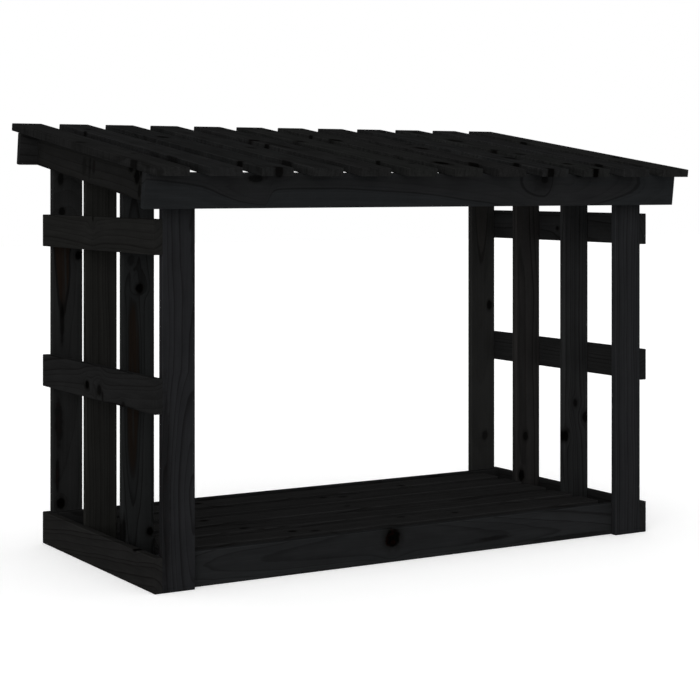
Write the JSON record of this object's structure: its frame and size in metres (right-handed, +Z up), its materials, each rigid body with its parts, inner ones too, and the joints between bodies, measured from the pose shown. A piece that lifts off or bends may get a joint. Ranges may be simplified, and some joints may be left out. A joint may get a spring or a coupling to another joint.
{
  "type": "log store",
  "caption": "Low open-fronted log store of black-stained boards: slatted side frames, a slatted floor and a sloping roof of spaced boards.",
  "frame": {"origin": "on the ground, under the middle of the roof", "axes": "+X to the right as seen from the open front, +Y to the rear, +Z up"},
  "size_m": [1.08, 0.6462, 0.7708],
  "materials": {
    "stained_pine": "near-black wood stain over planed softwood, matt to satin, grain and knots showing through"
  },
  "bodies": {
    "root": {"floor_bearer_1": "stained_pine", "floor_bearer_2": "stained_pine", "floor_bearer_3": "stained_pine", "floor_board_1": "stained_pine", "floor_board_2": "stained_pine", "floor_board_3": "stained_pine", "floor_board_4": "stained_pine", "floor_board_5": "stained_pine", "front_base_board": "stained_pine", "front_fascia": "stained_pine", "left_base_rail": "stained_pine", "left_middle_rail": "stained_pine", "left_rafter": "stained_pine", "left_upper_rail": "stained_pine", "left_upright_1": "stained_pine", "left_upright_2": "stained_pine", "left_upright_3": "stained_pine", "left_upright_4": "stained_pine", "rear_base_board": "stained_pine", "rear_beam": "stained_pine", "right_base_rail": "stained_pine", "right_middle_rail": "stained_pine", "right_rafter": "stained_pine", "right_upper_rail": "stained_pine", "right_upright_1": "stained_pine", "right_upright_2": "stained_pine", "right_upright_3": "stained_pine", "right_upright_4": "stained_pine", "roof_board_01": "stained_pine", "roof_board_02": "stained_pine", "roof_board_03": "stained_pine", "roof_board_04": "stained_pine", "roof_board_05": "stained_pine", "roof_board_06": "stained_pine", "roof_board_07": "stained_pine", "roof_board_08": "stained_pine", "roof_board_09": "stained_pine", "roof_board_10": "stained_pine", "roof_board_11": "stained_pine", "roof_board_12": "stained_pine"}
  },
  "joints": []
}
